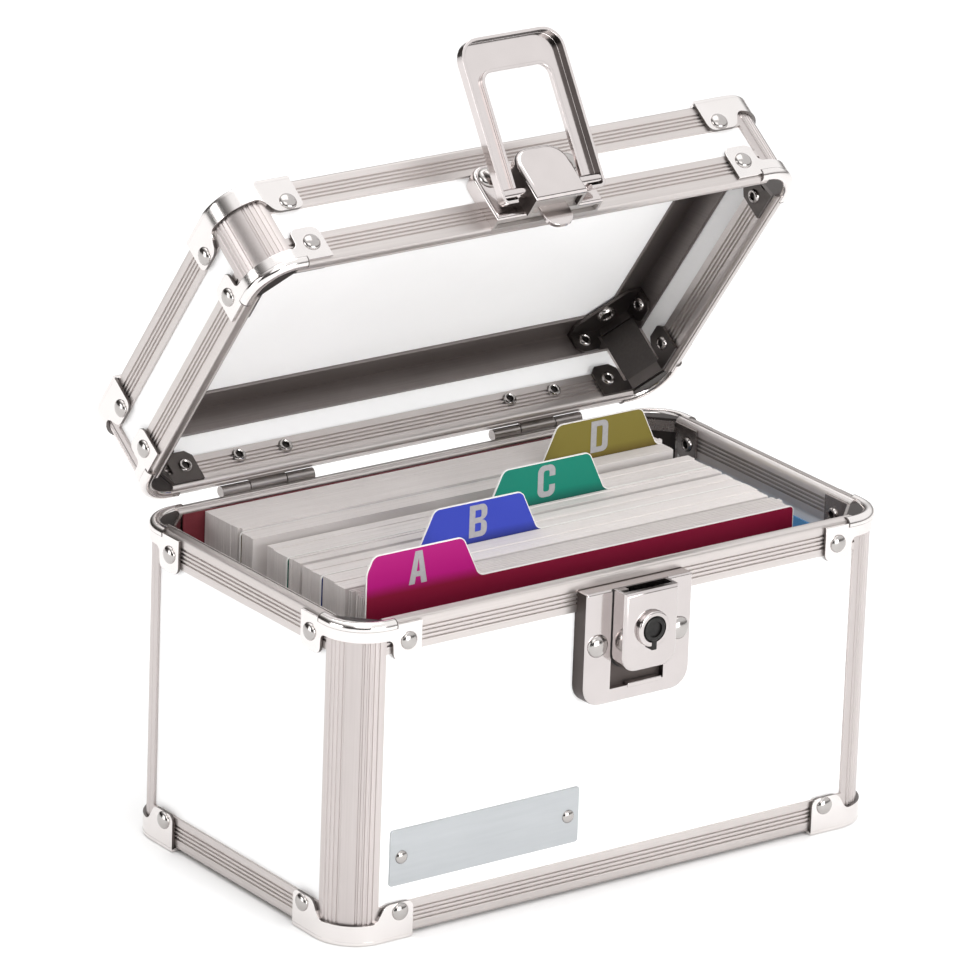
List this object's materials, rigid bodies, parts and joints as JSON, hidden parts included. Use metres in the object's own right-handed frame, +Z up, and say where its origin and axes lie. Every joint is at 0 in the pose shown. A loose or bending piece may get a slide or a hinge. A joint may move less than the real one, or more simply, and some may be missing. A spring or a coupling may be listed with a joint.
{
  "type": "index card box",
  "caption": "Locking index card box with ribbed aluminium rails, white panels, riveted corners, hinged lid, key lock and swinging ring handle, holding cards and lettered guides.",
  "frame": {"origin": "on the standing surface, under the middle of the body", "axes": "+Z up, +X to the right seen from the front, -Y to the front where the lock is"},
  "size_m": [0.1624, 0.123, 0.1985],
  "materials": {
    "white_panel": "smooth white laminate",
    "rail_aluminium": "satin extrusion with fine ribs",
    "corner_nickel": "bright stamped nickel",
    "bracket_steel": "plated inner bracket",
    "rivet_nickel": "polished rivet",
    "hinge_steel": "plated steel",
    "latch_chrome": "bright pressed hardware",
    "plug_black": "dark key plug",
    "plate_grey": "bare satin plate",
    "card_paper": "stacked white index cards",
    "guide_magenta": "coloured card guide",
    "guide_blue": "coloured card guide",
    "guide_green": "coloured card guide",
    "guide_gold": "coloured card guide",
    "guide_red": "dark red card guide",
    "slip_blue": "light blue slip"
  },
  "bodies": {
    "body": {"front_panel": "white_panel", "front_base_rail": "rail_aluminium", "front_rim_rail": "rail_aluminium", "rear_panel": "white_panel", "rear_base_rail": "rail_aluminium", "rear_rim_rail": "rail_aluminium", "left_panel": "white_panel", "left_base_rail": "rail_aluminium", "left_rim_rail": "rail_aluminium", "right_panel": "white_panel", "right_base_rail": "rail_aluminium", "right_rim_rail": "rail_aluminium", "floor_panel": "white_panel", "body_posts": "rail_aluminium", "body_rim_caps": "corner_nickel", "body_base_caps": "corner_nickel", "body_rim_brackets": "bracket_steel", "body_base_brackets": "bracket_steel", "body_rivets": "rivet_nickel", "lock_rivets": "rivet_nickel", "name_plate_rivets": "rivet_nickel", "hinge_lower_leaves": "hinge_steel", "hinge_pins": "hinge_steel", "lock_plate": "latch_chrome", "lock_case": "latch_chrome", "name_plate": "plate_grey", "card_packs": "card_paper", "divider_a": "guide_magenta", "divider_b": "guide_blue", "divider_c": "guide_green", "divider_d": "guide_gold", "rear_guide": "guide_red", "side_slip": "slip_blue"},
    "lid": {"lid_front_panel": "white_panel", "lid_front_top_rail": "rail_aluminium", "lid_front_rim_rail": "rail_aluminium", "lid_rear_panel": "white_panel", "lid_rear_top_rail": "rail_aluminium", "lid_rear_rim_rail": "rail_aluminium", "lid_left_panel": "white_panel", "lid_left_top_rail": "rail_aluminium", "lid_left_rim_rail": "rail_aluminium", "lid_right_panel": "white_panel", "lid_right_top_rail": "rail_aluminium", "lid_right_rim_rail": "rail_aluminium", "lid_panel": "white_panel", "lid_posts": "rail_aluminium", "lid_rim_caps": "corner_nickel", "lid_top_caps": "corner_nickel", "lid_rim_brackets": "bracket_steel", "lid_top_brackets": "bracket_steel", "lid_rivets": "rivet_nickel", "hinge_upper_leaves": "hinge_steel", "latch_plate": "latch_chrome", "latch_hood": "latch_chrome", "latch_rivets": "rivet_nickel"},
    "handle": {"handle_ring": "latch_chrome"},
    "plug": {"lock_plug": "plug_black"},
    "bolt": {"lock_bolt": "hinge_steel"}
  },
  "joints": [
    {"name": "lid_hinge", "type": "hinge", "parent": "body", "child": "lid", "pos_m": [0, 0.04675, 0.08145], "axis": [-1, 0, 0], "range_deg": [-54.7, 50.3]},
    {"name": "handle_swing", "type": "hinge", "parent": "lid", "child": "handle", "pos_m": [0.0014, -0.00753, 0.16512], "axis": [-1, 0, 0], "range_deg": [-157.3, 0]},
    {"name": "key_turn", "type": "hinge", "parent": "body", "child": "plug", "pos_m": [0.0014, -0.0523, 0.0688], "axis": [0, 1, 0], "range_deg": [0, 90]},
    {"name": "bolt_slide", "type": "slide", "parent": "body", "child": "bolt", "axis": [1, 0, 0], "range_m": [0, 0.00269]}
  ],
  "couplings": [
    {"joint": "key_turn", "follows": "bolt_slide", "rad_per_m": 584.59}
  ]
}
